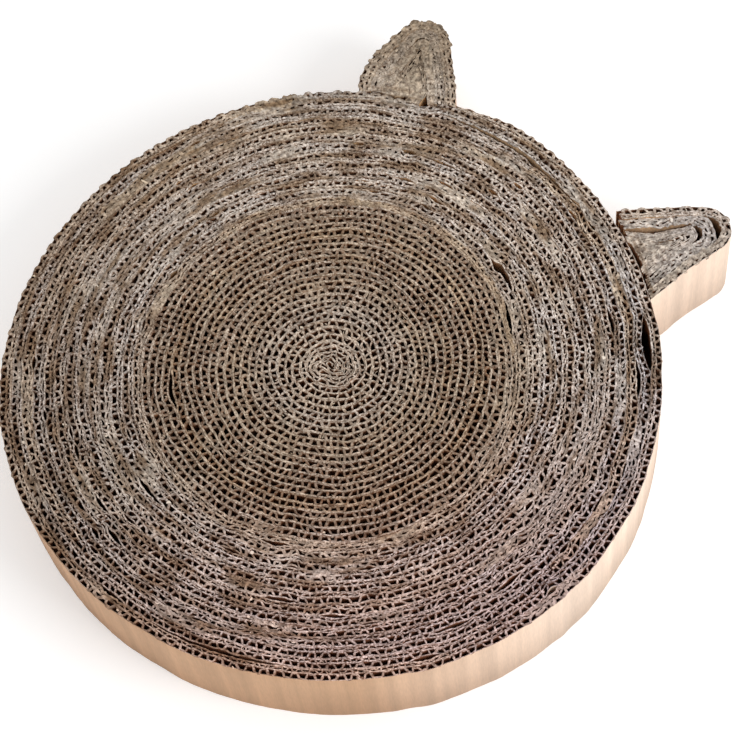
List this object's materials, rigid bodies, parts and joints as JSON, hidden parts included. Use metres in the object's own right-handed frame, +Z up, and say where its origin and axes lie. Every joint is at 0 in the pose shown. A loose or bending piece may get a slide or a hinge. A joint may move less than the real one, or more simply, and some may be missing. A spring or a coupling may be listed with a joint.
{
  "type": "cat scratcher",
  "caption": "Flat round cat scratcher wound from corrugated cardboard strips set on edge, with a pair of folded strip ears on its rim.",
  "frame": {"origin": "middle of the coil, on the face that it rests on", "axes": "+Z up through the thickness of the coil, +Y midway between the two ears, +X to the right seen from above with the ears at the top"},
  "size_m": [0.3721, 0.3977, 0.054],
  "materials": {
    "single_wall_board": "matte raw cut edges of single-wall corrugated board",
    "double_wall_board": "matte raw cut edges of double-wall corrugated board, smooth kraft liner on the rim",
    "ear_board": "matte crushed corrugated board, smooth kraft liner on the outside"
  },
  "bodies": {
    "root": {"single_strip_01": "single_wall_board", "single_strip_02": "single_wall_board", "single_strip_03": "single_wall_board", "single_strip_04": "single_wall_board", "single_strip_05": "single_wall_board", "single_strip_06": "single_wall_board", "single_strip_07": "single_wall_board", "single_strip_08": "single_wall_board", "single_strip_09": "single_wall_board", "single_strip_10": "single_wall_board", "single_strip_11": "single_wall_board", "single_strip_12": "single_wall_board", "single_strip_13": "single_wall_board", "single_strip_14": "single_wall_board", "single_strip_15": "single_wall_board", "single_strip_16": "single_wall_board", "double_strip_01": "double_wall_board", "double_strip_02": "double_wall_board", "double_strip_03": "double_wall_board", "double_strip_04": "double_wall_board", "double_strip_05": "double_wall_board", "double_strip_06": "double_wall_board", "double_strip_07": "double_wall_board", "double_strip_08": "double_wall_board", "double_strip_09": "double_wall_board", "double_strip_10": "double_wall_board", "double_strip_11": "double_wall_board", "double_strip_12": "double_wall_board", "double_strip_13": "double_wall_board", "double_strip_14": "double_wall_board", "double_strip_15": "double_wall_board", "double_strip_16": "double_wall_board", "double_strip_17": "double_wall_board", "double_strip_18": "double_wall_board", "double_strip_19": "double_wall_board", "double_strip_20": "double_wall_board", "double_strip_21": "double_wall_board", "double_strip_22": "double_wall_board", "double_strip_23": "double_wall_board", "double_strip_24": "double_wall_board", "double_strip_25": "double_wall_board", "double_strip_26": "double_wall_board", "double_strip_27": "double_wall_board", "double_strip_28": "double_wall_board", "double_strip_29": "double_wall_board", "double_strip_30": "double_wall_board", "double_strip_31": "double_wall_board", "double_strip_32": "double_wall_board", "double_strip_33": "double_wall_board", "double_strip_34": "double_wall_board", "left_ear_outer_strip": "ear_board", "left_ear_second_strip": "ear_board", "left_ear_third_strip": "ear_board", "left_ear_fourth_strip": "ear_board", "left_ear_core": "ear_board", "right_ear_outer_strip": "ear_board", "right_ear_second_strip": "ear_board", "right_ear_third_strip": "ear_board", "right_ear_fourth_strip": "ear_board", "right_ear_core": "ear_board"}
  },
  "joints": []
}
